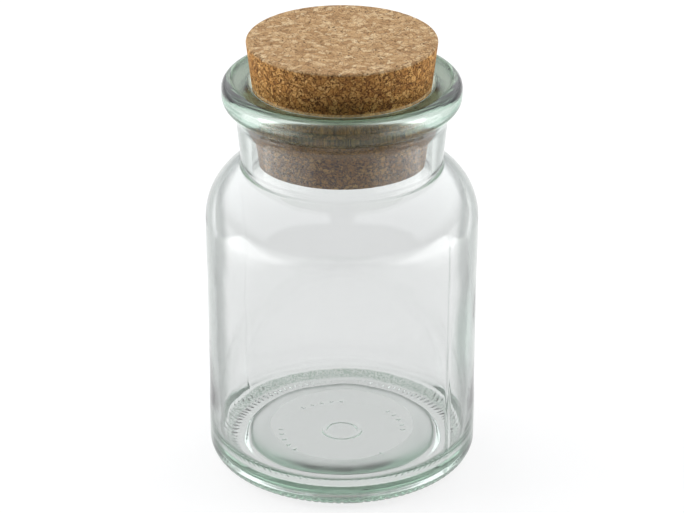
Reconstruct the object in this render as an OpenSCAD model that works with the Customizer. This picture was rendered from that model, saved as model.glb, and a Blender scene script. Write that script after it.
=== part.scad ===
// Spice jar of pressed clear glass, with a wide lip and a tapered cork stopper.
// Millimetres, +Z up. The origin is the centre of the ring that the jar stands on.

/* [Glass body] */
// Outer diameter of the straight body
body_d = 60; // [56:0.5:70]
// Height of the glass from the table to the highest ring of the lip
glass_h = 90.1; // [84:0.5:120]
// Thickness of the body wall and of the shoulder
wall_t = 1.9; // [1.4:0.1:2.6]
// Thickness of the floor over the standing ring
floor_t = 3.6; // [3:0.1:6]
// How far the middle of the inner floor stands up
floor_rise = 1.5; // [0.3:0.1:2]
// Diameter of the ring where the inner floor starts to rise
floor_step_d = 42; // [34:0.5:44]
// Width of that rise, up to the flat middle
floor_step_w = 4.5; // [2:0.5:8]
// Radius between the inner floor and the inner wall
floor_corner_r = 5; // [1:0.1:6]
// Radius of the heel, between the wall and the standing ring
heel_r = 3.7; // [2:0.1:5]
// Radius of the shoulder, seen from the side
shoulder_r = 14.2; // [10:0.1:18]

/* [Base] */
// Diameter of the recess under the base
recess_d = 45; // [36:0.5:46]
// Depth of the recess under the base
recess_depth = 1; // [0.6:0.1:2]
// Width of the slope at the edge of the recess
recess_slope = 1.2; // [0.5:0.1:2.5]
// Number of grip notches round the outer edge of the standing ring
notch_count = 108; // [60:1:120]
// Width of one grip notch
notch_w = 0.55; // [0.4:0.05:0.7]
// How far one grip notch reaches in from the heel, along the standing ring
notch_len = 1.8; // [0.5:0.1:3]
// Depth of one grip notch in the standing ring
notch_depth = 0.25; // [0.1:0.05:0.5]
// Depth of one grip notch where it turns up round the heel
notch_heel_depth = 0.45; // [0.2:0.05:0.6]
// Diameter of the raised circle in the middle of the recess
mark_d = 9; // [6:0.5:14]
// Diameter of the circle that the mould dots stand on
dot_circle_d = 28; // [24:0.5:36]
// Number of places for mould dots round that circle
dot_count = 36; // [12:1:48]
// Every so many places, a new group of dots starts
dots_in_turn = 9; // [4:1:12]
// Number of dots in one group
dots_shown = 5; // [1:1:6]
// Diameter of one mould dot, and width of the raised circle's line
dot_d = 1; // [0.5:0.1:1.4]
// How far the dots and the circle stand out of the recess
mark_relief = 0.25; // [0.2:0.05:0.5]

/* [Neck] */
// Outer diameter of the neck where it leaves the shoulder
neck_d = 44; // [42.5:0.5:48]
// How much wider the neck is under the lip, in diameter
neck_flare = 2.4; // [0:0.1:4]
// Height of the neck, from the corner at the shoulder to the lip
neck_h = 12.6; // [9:0.1:18]
// Radius in the corner between the shoulder and the neck
neck_corner_r = 1; // [0.5:0.1:2]
// Inner diameter of the mouth, where the cork seats
mouth_d = 39.2; // [36:0.1:40]
// Height of the tapered seat in the mouth, below which the bore is straight
seat_h = 4.4; // [1:0.1:6]
// Radius of the inner edge at the foot of the bore
bore_foot_r = 2; // [1:0.1:3]

/* [Lip] */
// Outer diameter of the lip
lip_d = 52; // [50:0.5:60]
// Height of the lip
lip_h = 6.65; // [5.5:0.05:9]
// Radius of the lip's upper outer edge
lip_top_r = 2.2; // [1:0.1:3]
// Radius of the lip's lower outer edge
lip_under_r = 3.1; // [1:0.1:3.3]
// How far the top of the lip falls towards the mouth
lip_fall = 1; // [0.4:0.1:1.6]
// Radius of the mouth's inner edge
mouth_edge_r = 0.7; // [0.3:0.1:1.2]

/* [Cork stopper] */
// Height of the cork
cork_h = 26.9; // [24:0.1:36]
// How deep the cork goes in below the seat
cork_depth = 16.4; // [12:0.1:20]
// Angle of the cork's side from upright, in degrees
cork_angle = 6.5; // [4:0.1:9]
// Radius of the cork's worn edges
cork_edge_r = 0.5; // [0.2:0.1:1]
// Gap between the cork and the mouth, on the radius
cork_gap = 0.15; // [0.05:0.05:0.3]

/* [Hidden] */
$fn = 144;
arc_steps = 10;

// Body
body_r = body_d / 2;
inner_r = body_r - wall_t;
corner_r = min(floor_corner_r, inner_r / 2);
floor_edge_r = inner_r - corner_r;

// The middle of the floor stands up in a round step, inside a flat ring of this width or more
floor_ring_w = 0.5;
step_out_r = min(floor_step_d / 2, floor_edge_r - floor_ring_w);
step_in_r = step_out_r - floor_step_w;

// Base: the notches run out through the heel and leave a flat edge inside the standing ring
ring_flat_w = 0.6;
ring_in_r = recess_d / 2;
ring_out_r = body_r - heel_r;
recess_top_r = ring_in_r - recess_slope;
notch_in_r = max(ring_out_r - notch_len, ring_in_r + ring_flat_w);
dot_ring_r = min(dot_circle_d / 2, recess_top_r - dot_d);

// Lip and mouth
neck_r = neck_d / 2;
neck_top_r = neck_r + neck_flare / 2;
lip_r = lip_d / 2;
lip_foot_z = glass_h - lip_h;
under_r = min(lip_under_r, lip_h - lip_top_r - 0.1);
under_c_r = lip_r - under_r;
under_start = under_c_r < neck_top_r ? -acos((neck_top_r - under_c_r) / under_r) : -90;
mouth_r = mouth_d / 2;
seat_z = glass_h - lip_fall - mouth_edge_r;

// The seat is as steep as the cork, so the cork fits it all the way down
cork_taper = tan(cork_angle);
bore_r = mouth_r - cork_taper * seat_h;

// Shoulder: its arc meets the neck in a small hollow corner
shoulder_c_r = body_r - shoulder_r;
corner_c_r = neck_r + neck_corner_r;
corner_rise = sqrt(pow(shoulder_r + neck_corner_r, 2) - pow(corner_c_r - shoulder_c_r, 2));
corner_turn = atan2(corner_rise, corner_c_r - shoulder_c_r);

// The shoulder keeps its place under the lip, so a taller jar has a taller straight wall
shoulder_z = lip_foot_z - neck_h - corner_rise;
corner_c_z = shoulder_z + corner_rise;

// The bore's foot is rounded into the inner side of the shoulder
inner_shoulder_r = shoulder_r - wall_t;
foot_c_r = bore_r + bore_foot_r;
foot_rise = sqrt(pow(inner_shoulder_r + bore_foot_r, 2) - pow(foot_c_r - shoulder_c_r, 2));
foot_turn = atan2(foot_rise, foot_c_r - shoulder_c_r);
foot_c_z = shoulder_z + foot_rise;

// The cork is one gap away from the mouth where it seats
cork_seat_r = mouth_r - cork_gap;
cork_foot_r = cork_seat_r - cork_taper * cork_depth;
cork_top_r = cork_foot_r + cork_taper * cork_h;
cork_foot_z = seat_z - cork_depth;

// Points of an arc round (r, z), from angle a0 to angle a1
function arc(r, z, radius, a0, a1) =
    [for (i = [0 : arc_steps])
        let (a = a0 + (a1 - a0) * i / arc_steps)
        [r + radius * cos(a), z + radius * sin(a)]];

// The underside, from the middle out to the standing ring
function underside_points() = [
    [0, recess_depth],
    [recess_top_r, recess_depth],
    [ring_in_r, 0]
];

// The outside, from the standing ring up to the top of the lip
function outside_points() = concat(
    arc(ring_out_r, heel_r, heel_r, -90, 0),
    arc(shoulder_c_r, shoulder_z, shoulder_r, 0, corner_turn),
    arc(corner_c_r, corner_c_z, neck_corner_r, 180 + corner_turn, 180),
    under_c_r > neck_top_r ? [[neck_top_r, lip_foot_z]] : [],
    arc(under_c_r, lip_foot_z + under_r, under_r, under_start, 0),
    arc(lip_r - lip_top_r, glass_h - lip_top_r, lip_top_r, 0, 90)
);

// The inside, from the mouth down to the middle of the floor
function inside_points() = concat(
    arc(mouth_r + mouth_edge_r, seat_z, mouth_edge_r, 90, 180),
    [[bore_r, seat_z - seat_h]],
    arc(foot_c_r, foot_c_z, bore_foot_r, 180, 180 + foot_turn),
    arc(shoulder_c_r, shoulder_z, inner_shoulder_r, foot_turn, 0),
    arc(floor_edge_r, floor_t + corner_r, corner_r, 0, -90),
    [for (i = [0 : arc_steps])
        let (a = 90 * i / arc_steps)
        [step_in_r + floor_step_w * cos(a), floor_t + floor_rise * sin(a)]],
    [[0, floor_t + floor_rise]]
);

module glass_blank() {
    rotate_extrude()
        polygon(concat(underside_points(), outside_points(), inside_points()));
}

// Short notches across the edge of the standing ring and up the heel, for grip on a wet table
module grip_notches() {
    for (i = [0 : notch_count - 1])
        rotate(360 * i / notch_count) {
            translate([notch_in_r, -notch_w / 2, -notch_depth])
                cube([body_r - notch_in_r, notch_w, 2 * notch_depth]);
            translate([ring_out_r, 0, heel_r])
                rotate([0, 45, 0])
                    translate([heel_r - notch_heel_depth, -notch_w / 2, -heel_r])
                        cube([heel_r, notch_w, 2 * heel_r]);
        }
}

// Plain dots and a plain circle that the mould leaves under the base
module mould_marks() {
    translate([0, 0, recess_depth - mark_relief]) {
        for (i = [0 : dot_count - 1])
            if (i % dots_in_turn < dots_shown)
                rotate(360 * i / dot_count)
                    translate([dot_ring_r, 0, 0])
                        cylinder(d = dot_d, h = 2 * mark_relief);
        rotate_extrude()
            translate([mark_d / 2 - dot_d, 0])
                square([dot_d, 2 * mark_relief]);
    }
}

module glass_jar() {
    color([0.86, 0.93, 0.89, 0.45])
        difference() {
            union() {
                glass_blank();
                mould_marks();
            }
            grip_notches();
        }
}

// One piece of pressed cork grains, turned to a taper
module cork_stopper() {
    color([0.74, 0.56, 0.36])
        translate([0, 0, cork_foot_z])
            rotate_extrude()
                polygon([
                    [0, 0],
                    [cork_foot_r - cork_edge_r, 0],
                    [cork_foot_r + cork_taper * cork_edge_r, cork_edge_r],
                    [cork_top_r - cork_taper * cork_edge_r, cork_h - cork_edge_r],
                    [cork_top_r - cork_edge_r, cork_h],
                    [0, cork_h]
                ]);
}

glass_jar();
cork_stopper();
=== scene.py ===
# %% [markdown]
# A spice jar of pressed glass with a cork stopper.
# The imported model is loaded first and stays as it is: it says where the two pieces are and how
# big they are. Everything made here is a finer skin for one of those two pieces.

# %% Load the frame
import math

import bpy
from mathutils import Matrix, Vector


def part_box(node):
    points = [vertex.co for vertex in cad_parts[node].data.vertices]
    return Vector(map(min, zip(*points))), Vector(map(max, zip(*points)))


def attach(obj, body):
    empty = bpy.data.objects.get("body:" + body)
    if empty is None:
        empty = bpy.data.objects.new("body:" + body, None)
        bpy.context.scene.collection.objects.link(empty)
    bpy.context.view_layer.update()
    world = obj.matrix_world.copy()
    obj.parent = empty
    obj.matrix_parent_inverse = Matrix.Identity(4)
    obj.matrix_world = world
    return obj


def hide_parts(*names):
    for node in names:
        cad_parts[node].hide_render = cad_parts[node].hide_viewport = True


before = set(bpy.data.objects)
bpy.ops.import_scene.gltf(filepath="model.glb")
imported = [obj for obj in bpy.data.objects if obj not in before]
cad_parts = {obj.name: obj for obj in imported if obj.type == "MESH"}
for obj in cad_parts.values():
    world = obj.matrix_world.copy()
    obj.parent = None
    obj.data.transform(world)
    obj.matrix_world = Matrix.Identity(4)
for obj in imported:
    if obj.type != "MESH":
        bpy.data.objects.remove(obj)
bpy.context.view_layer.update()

# %% [markdown]
# Sizes come from the frame where it has them, so the skins can't drift from the solids.
# The jar's own form, such as its wall and its rounds, is kept here in millimetres, as a
# drawing would give it, and MM turns it into Blender's metres.

# %% Sizes
MM = 0.001
jar_low, jar_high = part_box("glass_jar")
cork_low, cork_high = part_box("cork_stopper")
BODY_R = jar_high.x / MM
GLASS_H = jar_high.z / MM
CORK_FOOT_Z = cork_low.z / MM
CORK_TOP_Z = cork_high.z / MM
CORK_TOP_R = cork_high.x / MM
print("jar", round(BODY_R, 2), "x", round(GLASS_H, 2), "cork", round(CORK_FOOT_Z, 2), round(CORK_TOP_Z, 2))

# %% [markdown]
# Both pieces are turned shapes: the glass is blown in a round mould and the cork is ground on
# a lathe. A turned shape is one line, its profile, swept round an axis. The profile is a list
# of (radius, height) points, and each round stretch of it is an arc worked out by a function.

# %% Arcs and lines for a profile
def arc(radius_at, height_at, radius, start, end, steps):
    """Points of an arc round (radius_at, height_at), from one angle in degrees to another."""
    points = []
    for i in range(steps + 1):
        a = math.radians(start + (end - start) * i / steps)
        points.append((radius_at + radius * math.cos(a), height_at + radius * math.sin(a)))
    return points


def line(start, end, steps):
    """Points along a straight stretch, without its first point."""
    return [
        (start[0] + (end[0] - start[0]) * i / steps, start[1] + (end[1] - start[1]) * i / steps)
        for i in range(1, steps + 1)
    ]


# %% [markdown]
# The jar's profile starts in the middle of the underside, runs out to the standing ring, up
# the outside, over the lip, down the bore and back to the middle of the inner floor. It is one
# closed skin of glass, which matters: light bends at the outside and again at the inside, and
# a single surface without thickness would look like a soap bubble.

# %% Profile of the glass
WALL = 1.9
FLOOR_T = 3.6
FLOOR_RISE = 1.5
STEP_OUT_R = 21.0
STEP_W = 4.5
FLOOR_CORNER_R = 5.0
HEEL_R = 3.7
SHOULDER_R = 14.2
RECESS_R = 22.5
RECESS_DEPTH = 1.0
RECESS_SLOPE = 1.2
NECK_R = 22.0
NECK_FLARE = 1.2
NECK_H = 12.6
NECK_CORNER_R = 1.0
MOUTH_R = 19.6
SEAT_H = 4.4
SEAT_TURN = math.radians(6.5)
BORE_ROUND = 2.0
LIP_R = 26.0
LIP_H = 6.65
LIP_TOP_ROUND = 2.2
LIP_UNDER_ROUND = 3.1
LIP_FALL = 1.0
MOUTH_ROUND = 0.7

RING_OUT_R = BODY_R - HEEL_R
LIP_FOOT_Z = GLASS_H - LIP_H
SEAT_Z = GLASS_H - LIP_FALL - MOUTH_ROUND
shoulder_mid = BODY_R - SHOULDER_R
corner_mid = NECK_R + NECK_CORNER_R
corner_rise = math.sqrt((SHOULDER_R + NECK_CORNER_R) ** 2 - (corner_mid - shoulder_mid) ** 2)
corner_turn = math.degrees(math.atan2(corner_rise, corner_mid - shoulder_mid))
SHOULDER_Z = LIP_FOOT_Z - NECK_H - corner_rise
inner_shoulder_r = SHOULDER_R - WALL
BORE_R = MOUTH_R - math.tan(SEAT_TURN) * SEAT_H
foot_mid = BORE_R + BORE_ROUND
foot_rise = math.sqrt((inner_shoulder_r + BORE_ROUND) ** 2 - (foot_mid - shoulder_mid) ** 2)
foot_turn = math.degrees(math.atan2(foot_rise, foot_mid - shoulder_mid))


def glass_profile():
    under_mid = LIP_R - LIP_UNDER_ROUND
    neck_top = NECK_R + NECK_FLARE
    under_start = -math.degrees(math.acos((neck_top - under_mid) / LIP_UNDER_ROUND))
    floor_edge = BODY_R - WALL - FLOOR_CORNER_R
    recess_in = RECESS_R - RECESS_SLOPE

    p = [(0.0, RECESS_DEPTH)]
    for r, steps in ((3.2, 2), (4.9, 8), (13.1, 5), (14.9, 9), (recess_in - 0.5, 4)):
        p += line(p[-1], (r, RECESS_DEPTH), steps)
    p += line(p[-1], (recess_in, RECESS_DEPTH - 0.08), 2)
    p += line(p[-1], (RECESS_R - 0.1, 0.06), 3)
    p += line(p[-1], (RECESS_R + 0.15, 0.0), 1)
    p += line(p[-1], (RING_OUT_R, 0.0), 9)
    p += arc(RING_OUT_R, HEEL_R, HEEL_R, -90, 0, 16)[1:]
    p += line(p[-1], (BODY_R, SHOULDER_Z), 20)
    p += arc(shoulder_mid, SHOULDER_Z, SHOULDER_R, 0, corner_turn, 15)[1:]
    p += arc(corner_mid, SHOULDER_Z + corner_rise, NECK_CORNER_R, 180 + corner_turn, 180, 6)[1:]
    neck_foot = p[-1]
    under = arc(under_mid, LIP_FOOT_Z + LIP_UNDER_ROUND, LIP_UNDER_ROUND, under_start, 0, 12)
    p += line(neck_foot, under[0], 4)
    p += under[1:]
    p += arc(LIP_R - LIP_TOP_ROUND, GLASS_H - LIP_TOP_ROUND, LIP_TOP_ROUND, 0, 90, 12)
    mouth = arc(MOUTH_R + MOUTH_ROUND, SEAT_Z, MOUTH_ROUND, 90, 180, 7)
    p += line(p[-1], mouth[0], 5)
    p += mouth[1:]
    foot = arc(foot_mid, SHOULDER_Z + foot_rise, BORE_ROUND, 180, 180 + foot_turn, 8)
    p += line(p[-1], (BORE_R, SEAT_Z - SEAT_H), 4)
    p += line(p[-1], foot[0], 5)
    p += foot[1:]
    p += arc(shoulder_mid, SHOULDER_Z, inner_shoulder_r, foot_turn, 0, 16)[1:]
    corner = arc(floor_edge, FLOOR_T + FLOOR_CORNER_R, FLOOR_CORNER_R, 0, -90, 12)
    p += line(p[-1], corner[0], 16)
    p += corner[1:]
    p += line(p[-1], (STEP_OUT_R, FLOOR_T), 3)
    for i in range(1, 11):
        a = math.radians(9 * i)
        p.append((STEP_OUT_R - STEP_W * (1 - math.cos(a)), FLOOR_T + FLOOR_RISE * math.sin(a)))
    p += line(p[-1], (0.0, FLOOR_T + FLOOR_RISE), 4)
    return p


# %% [markdown]
# The cork's profile is a plain taper with worn edges. Its points stand close together, because
# the grains and pits are pressed into the mesh itself later on.

# %% Profile of the cork
CORK_ANGLE = math.radians(6.5)
CORK_EDGE = 0.5
CORK_STEP = 0.3


def even(points, step):
    """The same path with a point about every step."""
    out = [points[0]]
    for a, b in zip(points, points[1:]):
        out += line(a, b, max(1, round(math.dist(a, b) / step)))
    return out


def cork_profile():
    taper = math.tan(CORK_ANGLE)
    foot_r = CORK_TOP_R + CORK_EDGE * taper - taper * (CORK_TOP_Z - CORK_FOOT_Z)
    path = [(0.0, CORK_FOOT_Z)]
    path += arc(foot_r - CORK_EDGE, CORK_FOOT_Z + CORK_EDGE, CORK_EDGE, -90, 0, 4)
    path += arc(CORK_TOP_R - CORK_EDGE, CORK_TOP_Z - CORK_EDGE, CORK_EDGE, 0, 90, 4)
    path.append((0.0, CORK_TOP_Z))
    return even(path, CORK_STEP)


# %% [markdown]
# Geometry Nodes do the turning. Each tree is built by a function, from small helpers that add
# a node and join it up, so that the tree reads nearly like a formula.

# %% Helpers for node trees
def new_tree(name, inputs):
    """An empty Geometry Nodes tree with named inputs: (name, socket type, value)."""
    tree = bpy.data.node_groups.new(name, "GeometryNodeTree")
    tree.interface.new_socket("Geometry", in_out="INPUT", socket_type="NodeSocketGeometry")
    for label, kind, value in inputs:
        socket = tree.interface.new_socket(label, in_out="INPUT", socket_type=kind)
        if value is not None:
            socket.default_value = value
    tree.interface.new_socket("Geometry", in_out="OUTPUT", socket_type="NodeSocketGeometry")
    return tree


def add(tree, kind, **settings):
    node = tree.nodes.new(kind)
    for key, value in settings.items():
        setattr(node, key, value)
    return node


def feed(tree, socket, value):
    """Joins another node's output to a socket, or writes a plain value into it."""
    if isinstance(value, bpy.types.NodeSocket):
        tree.links.new(value, socket)
    else:
        socket.default_value = value


def calc(tree, operation, *values):
    """A Math node's result."""
    node = add(tree, "ShaderNodeMath", operation=operation)
    for socket, value in zip(node.inputs, values):
        feed(tree, socket, value)
    return node.outputs[0]


def step_up(tree, value, low, high):
    """0 below low, 1 above high, and a smooth rise between."""
    node = add(tree, "ShaderNodeMapRange", interpolation_type="SMOOTHSTEP")
    for socket, v in zip(node.inputs, (value, low, high, 0.0, 1.0)):
        feed(tree, socket, v)
    return node.outputs[0]


def band(tree, value, low, high, soft):
    """1 between low and high, fading to 0 over soft on each side."""
    up = step_up(tree, value, calc(tree, "SUBTRACT", low, soft), low)
    down = step_up(tree, value, high, calc(tree, "ADD", high, soft))
    return calc(tree, "SUBTRACT", up, down)


# %% [markdown]
# The first tree turns a profile round the Z axis. Curve to Mesh sweeps it along a circle, the
# points that meet on the axis are merged into one pole, and the faces are shaded smooth.
# The circle has a small radius of its own, which the profile's points are shifted by, and the
# sweep lays a profile's Y along -Z, so the profile is drawn upside down.

# %% The turning tree
PATH_R = 10.0


def turning_tree():
    tree = new_tree(
        "turn_profile",
        [
            ("Segments", "NodeSocketInt", 360),
            ("Path Radius", "NodeSocketFloat", PATH_R * MM),
            ("Material", "NodeSocketMaterial", None),
        ],
    )
    given = add(tree, "NodeGroupInput")
    profile = add(tree, "GeometryNodeMeshToCurve")
    feed(tree, profile.inputs["Mesh"], given.outputs["Geometry"])
    circle = add(tree, "GeometryNodeCurvePrimitiveCircle")
    feed(tree, circle.inputs["Resolution"], given.outputs["Segments"])
    feed(tree, circle.inputs["Radius"], given.outputs["Path Radius"])
    sweep = add(tree, "GeometryNodeCurveToMesh")
    feed(tree, sweep.inputs["Curve"], circle.outputs["Curve"])
    feed(tree, sweep.inputs["Profile Curve"], profile.outputs["Curve"])
    poles = add(tree, "GeometryNodeMergeByDistance")
    feed(tree, poles.inputs["Geometry"], sweep.outputs["Mesh"])
    feed(tree, poles.inputs["Distance"], 1e-6)
    smooth = add(tree, "GeometryNodeSetShadeSmooth")
    feed(tree, smooth.inputs["Geometry"], poles.outputs["Geometry"])
    real = add(tree, "GeometryNodeRealizeInstances")
    feed(tree, real.inputs["Geometry"], smooth.outputs["Geometry"])
    paint = add(tree, "GeometryNodeSetMaterial")
    feed(tree, paint.inputs["Geometry"], real.outputs["Geometry"])
    feed(tree, paint.inputs["Material"], given.outputs["Material"])
    end = add(tree, "NodeGroupOutput")
    feed(tree, end.inputs["Geometry"], paint.outputs["Geometry"])
    return tree


# %% [markdown]
# The second tree presses the mould's marks into the turned glass by moving its points:
# the radial grip notches across the standing ring, plain dots and a plain circle under the
# base, the shallow label panel, two mould seams, and the slow unevenness that blown glass has
# on its inner side. All of them are offsets of the same mesh, so the glass stays one clean
# solid and light passes it as it should.

# %% The mould marks tree
NOTCHES = 108
GLASS_MARKS = [
    ("Notches", "NodeSocketFloat", float(NOTCHES)),
    ("Notch Depth", "NodeSocketFloat", 0.16 * MM),
    ("Heel Notch Depth", "NodeSocketFloat", 0.45 * MM),
    ("Notch Inner Radius", "NodeSocketFloat", 24.6 * MM),
    ("Notch Outer Radius", "NodeSocketFloat", 29.0 * MM),
    ("Dot Circle Radius", "NodeSocketFloat", 14.0 * MM),
    ("Dots", "NodeSocketFloat", 36.0),
    ("Mark Relief", "NodeSocketFloat", 0.18 * MM),
    ("Mark Circle Radius", "NodeSocketFloat", 4.0 * MM),
    ("Panel Depth", "NodeSocketFloat", 0.12 * MM),
    ("Panel Low", "NodeSocketFloat", 16.0 * MM),
    ("Panel High", "NodeSocketFloat", 46.0 * MM),
    ("Wave Height", "NodeSocketFloat", 0.22 * MM),
    ("Wave Scale", "NodeSocketFloat", 55.0),
    ("Seam Height", "NodeSocketFloat", 0.09 * MM),
    ("Seam Angle", "NodeSocketFloat", math.radians(-39)),
    ("Seed", "NodeSocketFloat", 4.0),
    ("Material", "NodeSocketMaterial", None),
]


def marks_tree():
    tree = new_tree("mould_marks", GLASS_MARKS)
    given = add(tree, "NodeGroupInput").outputs
    place = add(tree, "GeometryNodeInputPosition").outputs[0]
    axes = add(tree, "ShaderNodeSeparateXYZ")
    feed(tree, axes.inputs[0], place)
    x, y, z = axes.outputs
    turn = calc(tree, "ARCTAN2", y, x)
    radius = calc(tree, "SQRT", calc(tree, "ADD", calc(tree, "MULTIPLY", x, x), calc(tree, "MULTIPLY", y, y)))

    wave = calc(tree, "COSINE", calc(tree, "MULTIPLY", turn, given["Notches"]))
    cut = step_up(tree, wave, 0.3, 0.7)
    on_ring = band(tree, radius, given["Notch Inner Radius"], given["Notch Outer Radius"], 0.25 * MM)
    room = calc(tree, "MAXIMUM", calc(tree, "SUBTRACT", given["Notch Depth"], z), 0.0)
    up = calc(tree, "MULTIPLY", calc(tree, "MULTIPLY", cut, on_ring), room)
    heel_x = calc(tree, "SUBTRACT", radius, RING_OUT_R * MM)
    heel_z = calc(tree, "SUBTRACT", HEEL_R * MM, z)
    heel_out = calc(tree, "MULTIPLY", calc(tree, "ADD", heel_x, heel_z), math.sqrt(0.5))
    heel_over = calc(tree, "SUBTRACT", heel_out, calc(tree, "SUBTRACT", HEEL_R * MM, given["Heel Notch Depth"]))
    on_heel = calc(tree, "MULTIPLY", calc(tree, "MULTIPLY", cut, calc(tree, "GREATER_THAN", radius, RING_OUT_R * MM)), calc(tree, "LESS_THAN", z, HEEL_R * MM))
    heel_cut = calc(tree, "MULTIPLY", calc(tree, "MULTIPLY", calc(tree, "MAXIMUM", heel_over, 0.0), on_heel), math.sqrt(0.5))
    wear = add(tree, "ShaderNodeTexNoise")
    feed(tree, wear.inputs["Vector"], place)
    feed(tree, wear.inputs["Scale"], 700.0)
    heel_cut = calc(tree, "MULTIPLY", heel_cut, step_up(tree, wear.outputs[0], 0.25, 0.6))

    under = calc(tree, "LESS_THAN", z, (RECESS_DEPTH + 0.05) * MM)
    dot_turn = calc(tree, "MULTIPLY", turn, given["Dots"])
    dot_across = calc(tree, "MULTIPLY", calc(tree, "SINE", calc(tree, "MULTIPLY", dot_turn, 0.5)), 1.0 * MM)
    dot_along = calc(tree, "SUBTRACT", radius, given["Dot Circle Radius"])
    dot_far = calc(
        tree,
        "SQRT",
        calc(tree, "ADD", calc(tree, "MULTIPLY", dot_across, dot_across), calc(tree, "MULTIPLY", dot_along, dot_along)),
    )
    dot = calc(tree, "SUBTRACT", 1.0, step_up(tree, dot_far, 0.3 * MM, 0.6 * MM))
    groups = step_up(tree, calc(tree, "COSINE", calc(tree, "MULTIPLY", calc(tree, "SUBTRACT", turn, 0.35), 4.0)), -0.25, -0.15)
    ring_far = calc(tree, "ABSOLUTE", calc(tree, "SUBTRACT", radius, given["Mark Circle Radius"]))
    ring = calc(tree, "SUBTRACT", 1.0, step_up(tree, ring_far, 0.35 * MM, 0.65 * MM))
    relief = calc(tree, "MAXIMUM", calc(tree, "MULTIPLY", dot, groups), ring)
    down = calc(tree, "MULTIPLY", calc(tree, "MULTIPLY", relief, under), given["Mark Relief"])
    lift = calc(tree, "ADD", calc(tree, "SUBTRACT", up, down), heel_cut)

    noise = add(tree, "ShaderNodeTexNoise", noise_dimensions="4D")
    feed(tree, noise.inputs["Vector"], place)
    feed(tree, noise.inputs["W"], given["Seed"])
    feed(tree, noise.inputs["Scale"], given["Wave Scale"])
    feed(tree, noise.inputs["Detail"], 1.0)
    uneven = calc(tree, "MULTIPLY", calc(tree, "SUBTRACT", noise.outputs[0], 0.5), given["Wave Height"])
    inner = calc(tree, "LESS_THAN", radius, (BODY_R - WALL / 2) * MM)
    wall_height = band(tree, z, 12.0 * MM, 58.0 * MM, 6.0 * MM)
    inner_wall = calc(tree, "MULTIPLY", calc(tree, "MULTIPLY", inner, wall_height), calc(tree, "GREATER_THAN", radius, 22.0 * MM))
    inside = calc(tree, "MULTIPLY", uneven, inner_wall)

    outer = calc(tree, "GREATER_THAN", radius, (BODY_R - WALL / 2) * MM)
    panel = band(tree, z, given["Panel Low"], given["Panel High"], 2.0 * MM)
    pressed = calc(tree, "MULTIPLY", calc(tree, "MULTIPLY", panel, outer), given["Panel Depth"])
    seam_turn = calc(tree, "SINE", calc(tree, "SUBTRACT", turn, given["Seam Angle"]))
    seam_far = calc(tree, "MULTIPLY", calc(tree, "ABSOLUTE", seam_turn), BODY_R * MM)
    seam = calc(tree, "SUBTRACT", 1.0, step_up(tree, seam_far, 0.0, 0.7 * MM))
    tall = band(tree, z, 2.5 * MM, 66.0 * MM, 2.0 * MM)
    ridge = calc(tree, "MULTIPLY", calc(tree, "MULTIPLY", calc(tree, "MULTIPLY", seam, tall), outer), given["Seam Height"])
    swell = calc(tree, "ADD", inside, calc(tree, "SUBTRACT", calc(tree, "SUBTRACT", ridge, pressed), heel_cut))

    safe = calc(tree, "MAXIMUM", radius, 0.1 * MM)
    shift = add(tree, "ShaderNodeCombineXYZ")
    feed(tree, shift.inputs[0], calc(tree, "MULTIPLY", calc(tree, "DIVIDE", x, safe), swell))
    feed(tree, shift.inputs[1], calc(tree, "MULTIPLY", calc(tree, "DIVIDE", y, safe), swell))
    feed(tree, shift.inputs[2], lift)
    move = add(tree, "GeometryNodeSetPosition")
    feed(tree, move.inputs["Geometry"], given["Geometry"])
    feed(tree, move.inputs["Offset"], shift.outputs[0])
    real = add(tree, "GeometryNodeRealizeInstances")
    feed(tree, real.inputs["Geometry"], move.outputs["Geometry"])
    paint = add(tree, "GeometryNodeSetMaterial")
    feed(tree, paint.inputs["Geometry"], real.outputs["Geometry"])
    feed(tree, paint.inputs["Material"], given["Material"])
    end = add(tree, "NodeGroupOutput")
    feed(tree, end.inputs["Geometry"], paint.outputs["Geometry"])
    return tree


# %% [markdown]
# The third tree is for the cork. Pressed cork is ground from loose grains, so its skin is
# full of small pits where a grain broke out, between grains that stand a little proud. Voronoi
# cells stand for the grains: a share of the cells, picked by their random colour, sink.

# %% The cork grain tree
CORK_GRAINS = [
    ("Grain Scale", "NodeSocketFloat", 1150.0),
    ("Pit Share", "NodeSocketFloat", 0.16),
    ("Pit Depth", "NodeSocketFloat", 0.26 * MM),
    ("Roughness Depth", "NodeSocketFloat", 0.07 * MM),
    ("Seed", "NodeSocketFloat", 7.0),
    ("Material", "NodeSocketMaterial", None),
]


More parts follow.
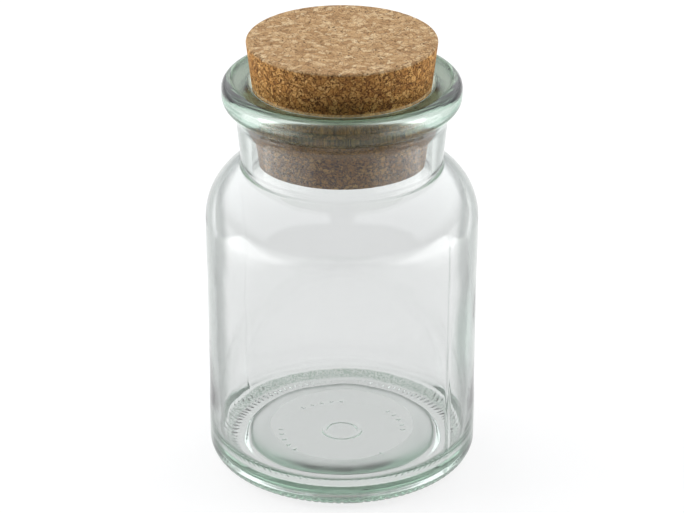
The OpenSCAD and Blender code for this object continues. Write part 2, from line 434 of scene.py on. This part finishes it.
def grain_tree():
    tree = new_tree("cork_grains", CORK_GRAINS)
    given = add(tree, "NodeGroupInput").outputs
    place = add(tree, "GeometryNodeInputPosition").outputs[0]
    cells = add(tree, "ShaderNodeTexVoronoi", voronoi_dimensions="4D", feature="F1")
    feed(tree, cells.inputs["Vector"], place)
    feed(tree, cells.inputs["W"], given["Seed"])
    feed(tree, cells.inputs["Scale"], given["Grain Scale"])
    pick = add(tree, "ShaderNodeSeparateXYZ")
    feed(tree, pick.inputs[0], cells.outputs["Color"])
    chosen = calc(tree, "LESS_THAN", pick.outputs[0], given["Pit Share"])
    bowl = calc(tree, "SUBTRACT", 1.0, step_up(tree, cells.outputs["Distance"], 0.15, 0.55))
    pit = calc(tree, "MULTIPLY", calc(tree, "MULTIPLY", chosen, bowl), given["Pit Depth"])
    noise = add(tree, "ShaderNodeTexNoise", noise_dimensions="4D")
    feed(tree, noise.inputs["Vector"], place)
    feed(tree, noise.inputs["W"], given["Seed"])
    feed(tree, noise.inputs["Scale"], 900.0)
    feed(tree, noise.inputs["Detail"], 3.0)
    rough = calc(tree, "MULTIPLY", noise.outputs[0], given["Roughness Depth"])
    sink = calc(tree, "MULTIPLY", calc(tree, "ADD", pit, rough), -1.0)
    outward = add(tree, "GeometryNodeInputNormal").outputs[0]
    shift = add(tree, "ShaderNodeVectorMath", operation="SCALE")
    feed(tree, shift.inputs[0], outward)
    feed(tree, shift.inputs["Scale"], sink)
    move = add(tree, "GeometryNodeSetPosition")
    feed(tree, move.inputs["Geometry"], given["Geometry"])
    feed(tree, move.inputs["Offset"], shift.outputs[0])
    real = add(tree, "GeometryNodeRealizeInstances")
    feed(tree, real.inputs["Geometry"], move.outputs["Geometry"])
    paint = add(tree, "GeometryNodeSetMaterial")
    feed(tree, paint.inputs["Geometry"], real.outputs["Geometry"])
    feed(tree, paint.inputs["Material"], given["Material"])
    end = add(tree, "NodeGroupOutput")
    feed(tree, end.inputs["Geometry"], paint.outputs["Geometry"])
    return tree


# %% [markdown]
# Clear soda glass is nearly colourless on a thin wall and green on edge, because a ray at the
# lip or the heel runs through far more of it. So the green is in the volume, as absorption
# for each metre of glass. The surface colour adds painted light on top: painted shade on the
# lip's top and slope, under the rim, in the inner floor's corner and at the edges, a painted
# reflection on the right wall and a painted highlight round the mouth.

# %% Glass finish
def paint_node(material, kind, **settings):
    return add(material.node_tree, kind, **settings)


def clear_glass():
    material = bpy.data.materials.new("clear_green_glass")
    material.use_nodes = True
    tree = material.node_tree
    shader = tree.nodes["Principled BSDF"]
    out = tree.nodes["Material Output"]
    shader.inputs["IOR"].default_value = 1.52
    where = paint_node(material, "ShaderNodeTexCoord")
    axes = paint_node(material, "ShaderNodeSeparateXYZ")
    feed(tree, axes.inputs[0], where.outputs["Object"])
    in_lip = step_up(tree, axes.outputs[2], (LIP_FOOT_Z - 0.5) * MM, (LIP_FOOT_Z + 1.5) * MM)
    across = calc(tree, "ADD", calc(tree, "POWER", axes.outputs[0], 2.0), calc(tree, "POWER", axes.outputs[1], 2.0))
    in_rim = step_up(tree, calc(tree, "SQRT", across), 24.6 * MM, 25.5 * MM)
    facing = paint_node(material, "ShaderNodeLayerWeight")
    facing.inputs["Blend"].default_value = 0.5
    lip_tint = mix(tree, in_rim, (0.90, 0.92, 0.89, 1.0), (0.80, 0.88, 0.82, 1.0))
    # Painted shade: the ridge of the lip's top and its slope towards the mouth are tinted almost black-green above the
    # seat.
    ridge = band(tree, calc(tree, "SQRT", across), 23.5 * MM, 25.15 * MM, 0.2 * MM)
    high = step_up(tree, axes.outputs[2], (SEAT_Z + 0.3) * MM, (SEAT_Z + 0.7) * MM)
    lip_tint = mix(tree, calc(tree, "MULTIPLY", ridge, high), lip_tint, (0.12, 0.17, 0.10, 1.0))
    slope = band(tree, calc(tree, "SQRT", across), 20.4 * MM, 23.6 * MM, 0.25 * MM)
    lip_tint = mix(tree, calc(tree, "MULTIPLY", slope, high), lip_tint, (0.06, 0.088, 0.048, 1.0))
    out_here = calc(tree, "SQRT", across)
    flat = paint_node(material, "ShaderNodeMapping")
    flat.inputs["Scale"].default_value = (0.12, 0.12, 1.0)
    feed(tree, flat.inputs["Vector"], where.outputs["Object"])
    streak = paint_node(material, "ShaderNodeTexNoise")
    feed(tree, streak.inputs["Vector"], flat.outputs["Vector"])
    feed(tree, streak.inputs["Scale"], 1100.0)
    feed(tree, streak.inputs["Detail"], 1.0)
    # Painted shade: a streaky darker green band just under the outer rim of the lip.
    under_rim = calc(tree, "MULTIPLY", band(tree, axes.outputs[2], (LIP_FOOT_Z + 0.6) * MM, (LIP_FOOT_Z + 4.2) * MM, 0.4 * MM), step_up(tree, out_here, 24.2 * MM, 24.8 * MM))
    streaks = calc(tree, "ADD", 0.25, calc(tree, "MULTIPLY", step_up(tree, streak.outputs[0], 0.46, 0.56), 0.75))
    lip_tint = mix(tree, calc(tree, "MULTIPLY", under_rim, streaks), lip_tint, (0.32, 0.48, 0.39, 1.0))
    # Painted shade: a dark green band with flecks round the inner floor's corner.
    at_corner = calc(tree, "MULTIPLY", band(tree, axes.outputs[2], 4.0 * MM, 4.9 * MM, 0.35 * MM), band(tree, out_here, 24.0 * MM, 28.0 * MM, 0.5 * MM))
    # Painted shade: the glass turns dark grey-green where its surface faces away from the view, at the edges.
    on_edge = step_up(tree, facing.outputs["Facing"], 0.57, 0.72)
    body_tint = mix(tree, on_edge, (0.86, 0.855, 0.86, 1.0), (0.24, 0.26, 0.25, 1.0))
    fleck = paint_node(material, "ShaderNodeTexNoise")
    feed(tree, fleck.inputs["Vector"], where.outputs["Object"])
    feed(tree, fleck.inputs["Scale"], 2600.0)
    flecks = calc(tree, "ADD", 0.55, calc(tree, "MULTIPLY", step_up(tree, fleck.outputs[0], 0.4, 0.6), 0.55))
    body_tint = mix(tree, calc(tree, "MULTIPLY", at_corner, flecks), body_tint, (0.20, 0.27, 0.22, 1.0))
    # Painted reflection: a green oval on the right side of the wall, about 34 mm up.
    along = calc(tree, "ADD", calc(tree, "MULTIPLY", axes.outputs[0], 0.42), calc(tree, "MULTIPLY", axes.outputs[1], 0.91))
    along = calc(tree, "DIVIDE", along, 6.0 * MM)
    above = calc(tree, "DIVIDE", calc(tree, "SUBTRACT", axes.outputs[2], 34.0 * MM), 13.0 * MM)
    painted_reflection_patch = calc(tree, "SQRT", calc(tree, "ADD", calc(tree, "MULTIPLY", along, along), calc(tree, "MULTIPLY", above, above)))
    painted_reflection_patch = calc(tree, "SUBTRACT", 1.0, step_up(tree, painted_reflection_patch, 0.2, 1.1))
    painted_reflection_patch = calc(tree, "MULTIPLY", painted_reflection_patch, calc(tree, "GREATER_THAN", axes.outputs[0], 20.0 * MM))
    body_tint = mix(tree, calc(tree, "MULTIPLY", painted_reflection_patch, 0.4), body_tint, (0.58, 0.73, 0.66, 1.0))
    tint = mix(tree, in_lip, body_tint, lip_tint)
    # Painted highlight: a cream ring on the mouth's rounded edge where the cork seats. The same ring is also made
    # rougher, as where the cork rubs.
    rubbed_ring_and_highlight = calc(
        tree,
        "MULTIPLY",
        band(tree, calc(tree, "SQRT", across), 19.6 * MM, 20.35 * MM, 0.15 * MM),
        step_up(tree, axes.outputs[2], (SEAT_Z - 0.1) * MM, (SEAT_Z + 0.2) * MM),
    )
    tint = mix(tree, rubbed_ring_and_highlight, tint, (0.96, 0.93, 0.84, 1.0))
    shader.inputs["Transmission Weight"].default_value = 1.0
    feed(tree, shader.inputs["Base Color"], tint)
    smudge = paint_node(material, "ShaderNodeTexNoise")
    feed(tree, smudge.inputs["Vector"], where.outputs["Object"])
    feed(tree, smudge.inputs["Scale"], 90.0)
    feed(tree, smudge.inputs["Detail"], 4.0)
    riser = calc(
        tree,
        "MULTIPLY",
        band(tree, calc(tree, "SQRT", across), (STEP_OUT_R - STEP_W) * MM, (STEP_OUT_R + 0.3) * MM, 0.3 * MM),
        band(tree, axes.outputs[2], FLOOR_T * MM, (FLOOR_T + FLOOR_RISE) * MM, 0.2 * MM),
    )
    seat = calc(
        tree,
        "MULTIPLY",
        calc(tree, "LESS_THAN", calc(tree, "SQRT", across), 19.9 * MM),
        band(tree, axes.outputs[2], (SEAT_Z - SEAT_H) * MM, SEAT_Z * MM, 0.4 * MM),
    )
    matte = calc(tree, "ADD", calc(tree, "MULTIPLY", step_up(tree, smudge.outputs[0], 0.5, 0.8), 0.05), calc(tree, "MULTIPLY", riser, 0.35))
    matte = calc(tree, "ADD", matte, calc(tree, "MULTIPLY", seat, 0.12))
    matte = calc(tree, "ADD", matte, calc(tree, "MULTIPLY", rubbed_ring_and_highlight, 0.45))
    matte = calc(tree, "ADD", matte, calc(tree, "MULTIPLY", calc(tree, "MULTIPLY", slope, high), 0.26))
    feed(tree, shader.inputs["Roughness"], matte)
    skin = paint_node(material, "ShaderNodeTexNoise")
    feed(tree, skin.inputs["Vector"], where.outputs["Object"])
    feed(tree, skin.inputs["Scale"], 160.0)
    feed(tree, skin.inputs["Detail"], 2.0)
    bump = paint_node(material, "ShaderNodeBump")
    bump.inputs["Strength"].default_value = 0.12
    bump.inputs["Distance"].default_value = 0.2 * MM
    stipple = paint_node(material, "ShaderNodeTexNoise")
    feed(tree, stipple.inputs["Vector"], where.outputs["Object"])
    feed(tree, stipple.inputs["Scale"], 1300.0)
    stippled = calc(tree, "MULTIPLY", calc(tree, "MULTIPLY", stipple.outputs[0], at_corner), 8.0)
    feed(tree, bump.inputs["Height"], calc(tree, "ADD", skin.outputs[0], stippled))
    feed(tree, shader.inputs["Normal"], bump.outputs[0])
    depth = paint_node(material, "ShaderNodeVolumeAbsorption")
    depth.inputs["Color"].default_value = (0.12, 0.50, 0.26, 1.0)
    depth.inputs["Density"].default_value = 18.0
    feed(tree, out.inputs["Volume"], depth.outputs[0])
    return material


# %% [markdown]
# Pressed cork is a mosaic: pale tan grains one to three millimetres wide, darker bark bits
# between them and thin dark lines where the grains meet. Two sizes of Voronoi cells give the
# mosaic, a little noise bends their straight sides, and a sparse third set gives the bark.

# %% Cork finish
def cork_cells(tree, vector, scale, feature):
    node = add(tree, "ShaderNodeTexVoronoi", feature=feature)
    feed(tree, node.inputs["Vector"], vector)
    feed(tree, node.inputs["Scale"], scale)
    return node


def colours(tree, value, stops):
    """A colour ramp's result, from (position, colour) stops."""
    node = add(tree, "ShaderNodeValToRGB")
    ramp = node.color_ramp.elements
    while len(ramp) < len(stops):
        ramp.new(0.5)
    for element, (at, colour) in zip(ramp, stops):
        element.position = at
        element.color = (*colour, 1.0)
    feed(tree, node.inputs[0], value)
    return node.outputs[0]


def mix(tree, factor, a, b, how="MIX"):
    node = add(tree, "ShaderNodeMix", data_type="RGBA", blend_type=how)
    feed(tree, node.inputs[0], factor)
    feed(tree, node.inputs[6], a)
    feed(tree, node.inputs[7], b)
    return node.outputs[2]


def first_part(tree, colour):
    node = add(tree, "ShaderNodeSeparateColor")
    feed(tree, node.inputs[0], colour)
    return node.outputs[0]


def pressed_cork():
    material = bpy.data.materials.new("pressed_cork")
    material.use_nodes = True
    tree = material.node_tree
    shader = tree.nodes["Principled BSDF"]
    where = add(tree, "ShaderNodeTexCoord").outputs["Object"]
    warp = add(tree, "ShaderNodeTexNoise")
    feed(tree, warp.inputs["Vector"], where)
    feed(tree, warp.inputs["Scale"], 700.0)
    feed(tree, warp.inputs["Detail"], 2.0)
    centred = add(tree, "ShaderNodeVectorMath", operation="SUBTRACT")
    feed(tree, centred.inputs[0], warp.outputs["Color"])
    centred.inputs[1].default_value = (0.5, 0.5, 0.5)
    small = add(tree, "ShaderNodeVectorMath", operation="SCALE")
    feed(tree, small.inputs[0], centred.outputs[0])
    small.inputs["Scale"].default_value = 1.6 * MM
    bent = add(tree, "ShaderNodeVectorMath", operation="ADD")
    feed(tree, bent.inputs[0], where)
    feed(tree, bent.inputs[1], small.outputs[0])
    bent = bent.outputs[0]

    big = cork_cells(tree, bent, 720.0, "F1")
    fine = cork_cells(tree, bent, 1700.0, "F1")
    bark = cork_cells(tree, bent, 3200.0, "F1")
    joint = cork_cells(tree, bent, 720.0, "DISTANCE_TO_EDGE")
    big_pick = first_part(tree, big.outputs["Color"])
    fine_pick = first_part(tree, fine.outputs["Color"])
    bark_pick = first_part(tree, bark.outputs["Color"])

    tan = colours(
        tree,
        calc(tree, "ADD", calc(tree, "MULTIPLY", big_pick, 0.65), calc(tree, "MULTIPLY", fine_pick, 0.35)),
        [
            (0.0, (0.32, 0.175, 0.075)),
            (0.35, (0.49, 0.30, 0.140)),
            (0.65, (0.61, 0.41, 0.215)),
            (1.0, (0.76, 0.58, 0.36)),
        ],
    )
    axes = add(tree, "ShaderNodeSeparateXYZ")
    feed(tree, axes.inputs[0], where)
    # side marks the cork's ground side below the top edge. Through it the side gets darker joints, more bark and a
    # warmer, darker tone than the top: partly the cork's own look, partly painted shade.
    side = calc(tree, "SUBTRACT", 1.0, step_up(tree, axes.outputs[2], (CORK_TOP_Z - 0.7) * MM, (CORK_TOP_Z - 0.2) * MM))
    line_dark = calc(tree, "SUBTRACT", 1.0, step_up(tree, joint.outputs["Distance"], 0.0, 0.12))
    tan = mix(tree, calc(tree, "MULTIPLY", line_dark, calc(tree, "ADD", 0.4, calc(tree, "MULTIPLY", side, 0.5))), tan, (0.20, 0.105, 0.045, 1.0))
    least = calc(tree, "SUBTRACT", 0.93, calc(tree, "MULTIPLY", side, 0.16))
    bark_here = step_up(tree, calc(tree, "SUBTRACT", bark_pick, least), 0.0, 0.03)
    tan = mix(tree, calc(tree, "MULTIPLY", bark_here, 0.9), tan, (0.105, 0.052, 0.022, 1.0))
    tone = mix(tree, side, (0.82, 0.81, 0.79, 1.0), (0.92, 0.73, 0.43, 1.0))
    tan = mix(tree, 1.0, tan, tone, "MULTIPLY")
    squeezed = calc(tree, "MULTIPLY", band(tree, axes.outputs[2], 80.5 * MM, (SEAT_Z - 0.5) * MM, 1.5 * MM), 0.35)
    tan = mix(tree, squeezed, tan, (0.54, 0.31, 0.115, 1.0))
    # Painted light: the cork below the seat, inside the neck, is made brighter where the glass around it shades it.
    in_neck = calc(tree, "SUBTRACT", 1.0, step_up(tree, axes.outputs[2], (SEAT_Z - 1.0) * MM, SEAT_Z * MM))
    tan = mix(tree, in_neck, tan, (1.26, 1.19, 1.10, 1.0), "MULTIPLY")
    # Painted highlight: the pale cream ring on the cork just above the mouth's edge is painted highlight, not a
    # pressing mark.
    pressed = band(tree, axes.outputs[2], (SEAT_Z + 0.55) * MM, (SEAT_Z + 0.85) * MM, 0.25 * MM)
    tan = mix(tree, calc(tree, "MULTIPLY", pressed, 0.4), tan, (0.80, 0.62, 0.38, 1.0))
    dust = add(tree, "ShaderNodeTexNoise")
    feed(tree, dust.inputs["Vector"], where)
    feed(tree, dust.inputs["Scale"], 3500.0)
    feed(tree, dust.inputs["Detail"], 3.0)
    shade = colours(tree, dust.outputs[0], [(0.30, (0.40, 0.37, 0.34)), (0.66, (1.18, 1.19, 1.20))])
    tan = mix(tree, 0.8, tan, shade, "MULTIPLY")
    feed(tree, shader.inputs["Base Color"], tan)
    rough = calc(tree, "ADD", calc(tree, "MULTIPLY", fine_pick, 0.15), 0.78)
    feed(tree, shader.inputs["Roughness"], rough)
    shader.inputs["Specular IOR Level"].default_value = 0.25

    height = calc(tree, "SUBTRACT", calc(tree, "MULTIPLY", fine_pick, 0.5), calc(tree, "MULTIPLY", line_dark, 0.5))
    height = calc(tree, "SUBTRACT", height, calc(tree, "MULTIPLY", bark_here, 0.7))
    height = calc(tree, "ADD", height, calc(tree, "MULTIPLY", dust.outputs[0], 0.5))
    bump = add(tree, "ShaderNodeBump")
    bump.inputs["Strength"].default_value = 0.6
    bump.inputs["Distance"].default_value = 0.25 * MM
    feed(tree, bump.inputs["Height"], height)
    feed(tree, shader.inputs["Normal"], bump.outputs[0])
    return material


# %% [markdown]
# Now the pieces are made. A profile becomes a mesh of edges, shifted inwards by the circle's
# own radius, and the trees run on it as modifiers. The result is copied to a plain mesh and
# the modifiers are removed, because only plain meshes travel well.

# %% Make a piece from a profile and its trees
def profile_object(name, points):
    mesh = bpy.data.meshes.new(name)
    corners = [((r - PATH_R) * MM, -z * MM, 0.0) for r, z in points]
    edges = [(i, i + 1) for i in range(len(points) - 1)]
    mesh.from_pydata(corners, edges, [])
    piece = bpy.data.objects.new(name, mesh)
    bpy.context.scene.collection.objects.link(piece)
    return piece


def run_tree(piece, tree, values):
    """Runs one tree on a piece, with its inputs set by name, and keeps the result as a mesh."""
    modifier = piece.modifiers.new(tree.name, "NODES")
    modifier.node_group = tree
    for item in tree.interface.items_tree:
        if item.in_out == "INPUT" and item.name in values:
            modifier[item.identifier] = values[item.name]
    bpy.context.view_layer.update()
    graph = bpy.context.evaluated_depsgraph_get()
    made = bpy.data.meshes.new_from_object(piece.evaluated_get(graph), depsgraph=graph)
    old = piece.data
    piece.modifiers.remove(modifier)
    piece.data = made
    bpy.data.meshes.remove(old)
    made.name = piece.name
    print(piece.name, tree.name, len(made.vertices), "points", len(made.polygons), "faces")
    return piece


# %% [markdown]
# The faces of a closed solid have to point out of the material. The signed volume tells which
# way they point: it is negative when the skin is inside out, and then every face is flipped.

# %% Check which way the faces point
def signed_volume(mesh):
    mesh.calc_loop_triangles()
    total = 0.0
    for t in mesh.loop_triangles:
        a, b, c = (mesh.vertices[i].co for i in t.vertices)
        total += a.dot(b.cross(c)) / 6
    return total


def face_out(piece):
    volume = signed_volume(piece.data)
    if volume < 0:
        piece.data.flip_normals()
    print(piece.name, "volume in ml", round(abs(volume) * 1e6, 2))


# %% The glass jar
GLASS_TURNS = 4 * NOTCHES
turning = turning_tree()
glass = clear_glass()
jar = profile_object("jar_glass_skin", glass_profile())
run_tree(jar, turning, {"Segments": GLASS_TURNS, "Material": glass})
run_tree(jar, marks_tree(), {"Material": glass})
face_out(jar)

# %% The cork stopper
CORK_TURNS = 420
cork_paint = pressed_cork()
cork = profile_object("cork_grain_skin", cork_profile())
run_tree(cork, turning, {"Segments": CORK_TURNS, "Material": cork_paint})
face_out(cork)
run_tree(cork, grain_tree(), {"Material": cork_paint})

# %% [markdown]
# Each skin rides on the body of the solid that it stands for, and hides that solid.

# %% Join the pieces to the frame
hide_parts("glass_jar")
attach(jar, "jar")
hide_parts("cork_stopper")
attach(cork, "stopper")

# %% [markdown]
# The camera looks down at the jar from the front with a long lens, which keeps its sides
# nearly upright.

# %% Camera
CAMERA_AWAY = 605.9
CAMERA_TILT = math.radians(25.92)
LOOK_AT_Z = 47.18
camera_data = bpy.data.cameras.new("camera")
camera_data.sensor_width = 36.0
camera_data.lens = 143.9
camera_data.clip_start = 0.01
camera = bpy.data.objects.new("camera", camera_data)
camera.location = (
    0.0,
    -CAMERA_AWAY * math.cos(CAMERA_TILT) * MM,
    (LOOK_AT_Z + CAMERA_AWAY * math.sin(CAMERA_TILT)) * MM,
)
camera.rotation_euler = (math.pi / 2 - CAMERA_TILT, 0.0, 0.0)
bpy.context.scene.collection.objects.link(camera)
bpy.context.scene.camera = camera

# %% [markdown]
# A pale floor and soft light from all round. The floor glows like a light table, and its glow
# is painted light: brighter beside and right under the jar and dimmer in front of it. Glass
# shows what is around it, so the light is part of the glass's look: the room is bright above
# and behind and dimmer at the camera's side, which gives the rims their darker lines.

# %% Floor
def pale_floor():
    material = bpy.data.materials.new("pale_floor")
    material.use_nodes = True
    tree = material.node_tree
    shader = tree.nodes["Principled BSDF"]
    axes = add(tree, "ShaderNodeSeparateXYZ")
    feed(tree, axes.inputs[0], add(tree, "ShaderNodeTexCoord").outputs["Object"])
    # Painted light: the floor's glow rises in strips beside the jar and in a patch right under it, and drops in front
    # of it.
    beside = step_up(tree, calc(tree, "ABSOLUTE", axes.outputs[0]), 0.12, 0.17)
    near = calc(tree, "SUBTRACT", 1.0, step_up(tree, axes.outputs[1], 0.035, 0.07))
    before = calc(tree, "SUBTRACT", 1.0, step_up(tree, axes.outputs[1], -0.28, -0.10))
    more = calc(tree, "MULTIPLY", calc(tree, "MULTIPLY", beside, near), 2.0)
    middle = calc(tree, "ADD", calc(tree, "POWER", axes.outputs[0], 2.0), calc(tree, "POWER", axes.outputs[1], 2.0))
    below = calc(tree, "SUBTRACT", 1.0, step_up(tree, calc(tree, "SQRT", middle), 0.022, 0.032))
    more = calc(tree, "ADD", more, calc(tree, "MULTIPLY", below, 0.07))
    glow = calc(tree, "MULTIPLY", calc(tree, "ADD", 0.76, more), calc(tree, "SUBTRACT", 1.0, calc(tree, "MULTIPLY", before, 0.75)))
    feed(tree, shader.inputs["Emission Strength"], glow)
    shader.inputs["Base Color"].default_value = (0.2, 0.2, 0.2, 1.0)
    shader.inputs["Roughness"].default_value = 0.8
    shader.inputs["Specular IOR Level"].default_value = 0.2
    shader.inputs["Emission Color"].default_value = (1.0, 1.0, 1.0, 1.0)
    return material


FLOOR_SIZE = 4.0
half = FLOOR_SIZE / 2
floor_mesh = bpy.data.meshes.new("floor")
floor_mesh.from_pydata([(-half, -half, 0), (half, -half, 0), (half, half, 0), (-half, half, 0)], [], [(0, 1, 2, 3)])
floor_mesh.materials.append(pale_floor())
floor = bpy.data.objects.new("floor", floor_mesh)
floor.location.z = -0.05 * MM
bpy.context.scene.collection.objects.link(floor)

# %% Light
def soft_box(name, place, size, power, colour):
    """A square lamp that faces the jar."""
    lamp = bpy.data.lights.new(name, "AREA")
    lamp.shape = "RECTANGLE"
    lamp.size, lamp.size_y = size
    lamp.energy = power
    lamp.color = colour
    holder = bpy.data.objects.new(name, lamp)
    holder.location = place
    aim = -holder.location
    aim.z += 0.05
    holder.rotation_euler = aim.to_track_quat("-Z", "Y").to_euler()
    holder.visible_glossy = False
    holder.visible_transmission = False
    bpy.context.scene.collection.objects.link(holder)


soft_box("top_light", (0.0, 0.10, 0.55), (0.5, 0.4), 0.05, (1.0, 0.99, 0.97))
soft_box("left_light", (-0.75, 0.1, 0.42), (0.7, 0.6), 5.8, (0.97, 0.98, 1.0))
soft_box("right_light", (0.75, 0.1, 0.42), (0.7, 0.6), 3.8, (0.97, 0.98, 1.0))

world = bpy.data.worlds.new("soft_room")
world.use_nodes = True
bpy.context.scene.world = world
room = world.node_tree
background = room.nodes["Background"]
direction = add(room, "ShaderNodeTexCoord").outputs["Generated"]
parts = add(room, "ShaderNodeSeparateXYZ")
feed(room, parts.inputs[0], direction)
behind = calc(room, "MULTIPLY", step_up(room, parts.outputs[1], -0.3, 0.6), 0.80)
left = calc(room, "MULTIPLY", step_up(room, calc(room, "MULTIPLY", parts.outputs[0], -1.0), 0.09, 0.16), 1.05)
right = calc(room, "MULTIPLY", step_up(room, parts.outputs[0], 0.09, 0.16), 0.98)
walls = calc(room, "MULTIPLY", calc(room, "ADD", left, right), step_up(room, parts.outputs[2], 0.0, 0.35))
walls = calc(room, "MULTIPLY", walls, step_up(room, parts.outputs[1], -0.45, -0.35))
feed(room, background.inputs["Color"], (0.97, 0.985, 1.0, 1.0))
feed(room, background.inputs["Strength"], calc(room, "ADD", 0.10, calc(room, "ADD", behind, walls)))

# %% [markdown]
# The picture is shown without a film curve, so that the pale floor and the glass keep the
# values that the light gives them. Light passes many walls of glass, so it gets more bounces.

# %% Picture settings
scene = bpy.context.scene
scene.view_settings.view_transform = "Standard"
scene.cycles.max_bounces = 24
scene.cycles.transmission_bounces = 24
scene.cycles.glossy_bounces = 8
